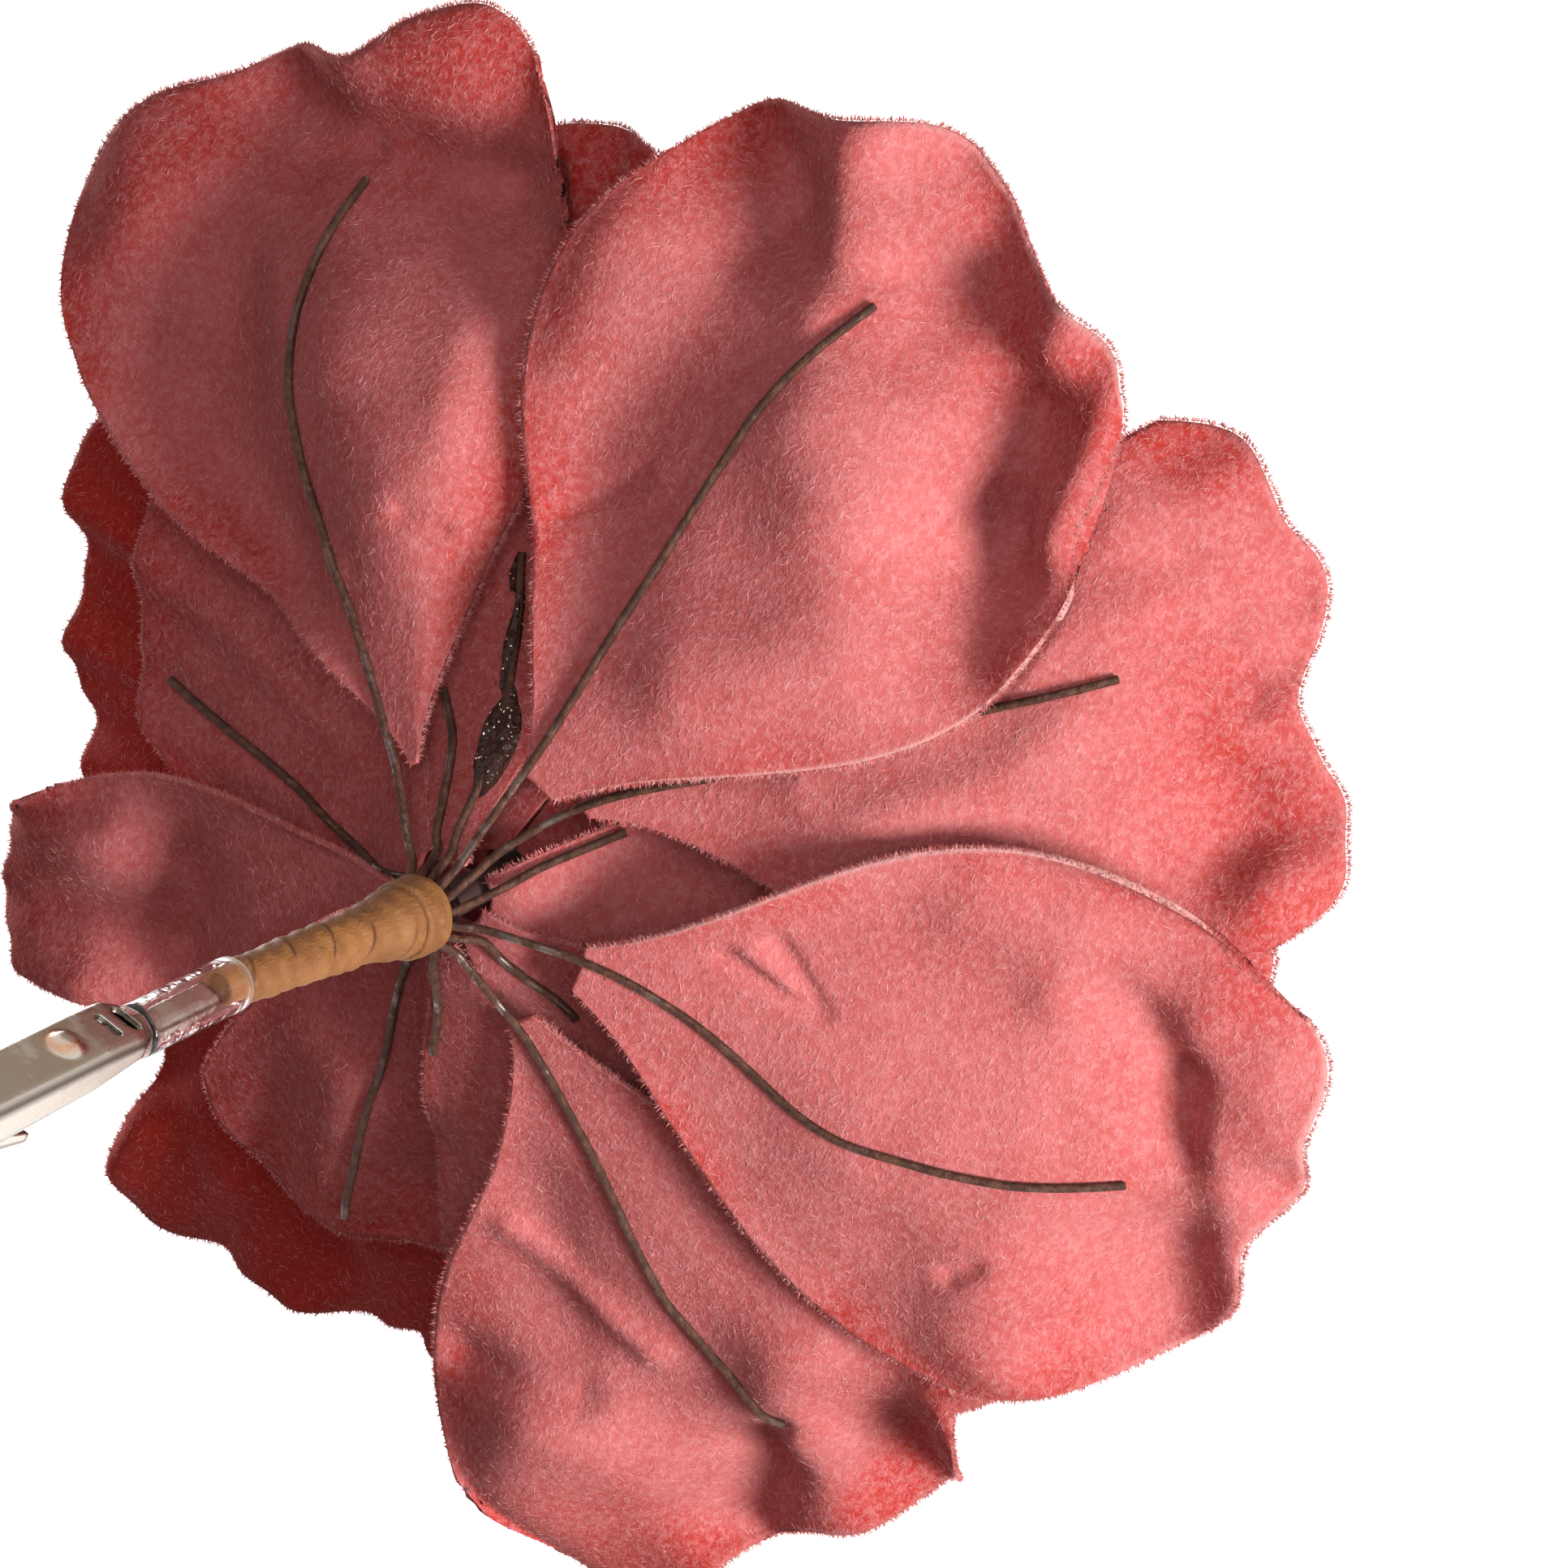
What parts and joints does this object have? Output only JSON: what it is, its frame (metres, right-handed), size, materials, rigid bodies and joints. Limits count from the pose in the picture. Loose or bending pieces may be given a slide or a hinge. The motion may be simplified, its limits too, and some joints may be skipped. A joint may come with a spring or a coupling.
{
  "type": "flower hair clip",
  "caption": "Wired fabric flower of cupped, layered petals on a taped stem, sleeved onto a sprung metal hair clip with a toothed jaw that opens about a pin.",
  "frame": {"origin": "centre of the closed jaws' grip, midway between the jaws' teeth", "axes": "+Y runs along the clip from its jaws to the flower, which opens towards +Y; +Z is square to the clip's flat back; the pivot pin lies along X"},
  "size_m": [0.1359, 0.1393, 0.1439],
  "materials": {
    "clip_nickel": "bright nickel plate, lightly scuffed",
    "pin_nickel": "bright nickel plate, riveted",
    "spring_steel": "drawn spring wire",
    "clear_sleeve": "clear soft plastic tube",
    "floral_tape": "waxed crepe tape, wound",
    "wire_wrap": "dark paper-covered wire with glue",
    "petal_rose": "flocked, velvety, fine pale fibres",
    "petal_deep": "flocked, velvety, deep red",
    "petal_front": "flocked, velvety"
  },
  "bodies": {
    "clip_and_flower": {"upper_arm": "clip_nickel", "pivot_pin": "pin_nickel", "spring_coil": "spring_steel", "clear_sleeve": "clear_sleeve", "stem_core": "wire_wrap", "floral_tape": "floral_tape", "tape_collar": "floral_tape", "petal_top_left": "petal_rose", "petal_top": "petal_rose", "petal_right": "petal_rose", "petal_lower_right": "petal_rose", "petal_bottom": "petal_rose", "petal_bottom_under": "petal_rose", "petal_lower_left": "petal_rose", "petal_lower_left_deep": "petal_deep", "petal_left": "petal_rose", "petal_upper_left": "petal_rose", "petal_far_left": "petal_deep", "petal_top_under": "petal_rose", "petal_right_under": "petal_rose", "petal_low_under": "petal_rose", "whorl_petal_1": "petal_front", "whorl_petal_2": "petal_front", "whorl_petal_3": "petal_front", "whorl_petal_4": "petal_front", "whorl_petal_5": "petal_front", "whorl_petal_6": "petal_front", "heart_petal_1": "petal_front", "heart_petal_2": "petal_front", "heart_petal_3": "petal_front", "bud_petal_1": "petal_front", "bud_petal_2": "petal_front", "bud_petal_3": "petal_front", "bud_core": "petal_deep", "wire_top_left": "wire_wrap", "wire_top": "wire_wrap", "wire_right": "wire_wrap", "wire_lower_right": "wire_wrap", "wire_bottom": "wire_wrap", "wire_bottom_under": "wire_wrap", "wire_lower_left": "wire_wrap", "wire_upper_left": "wire_wrap", "wire_top_under": "wire_wrap", "wire_glued": "wire_wrap", "wire_right_under": "wire_wrap", "wire_low_under": "wire_wrap"},
    "lower_jaw": {"lower_arm": "clip_nickel", "spring_leg": "spring_steel"}
  },
  "joints": [
    {"name": "jaw_hinge", "type": "hinge", "parent": "clip_and_flower", "child": "lower_jaw", "pos_m": [0, 0.019, 0], "axis": [1, 0, 0], "range_deg": [0, 24], "stiffness_Nm_per_rad": 0.02, "springref_deg": -68.75}
  ]
}
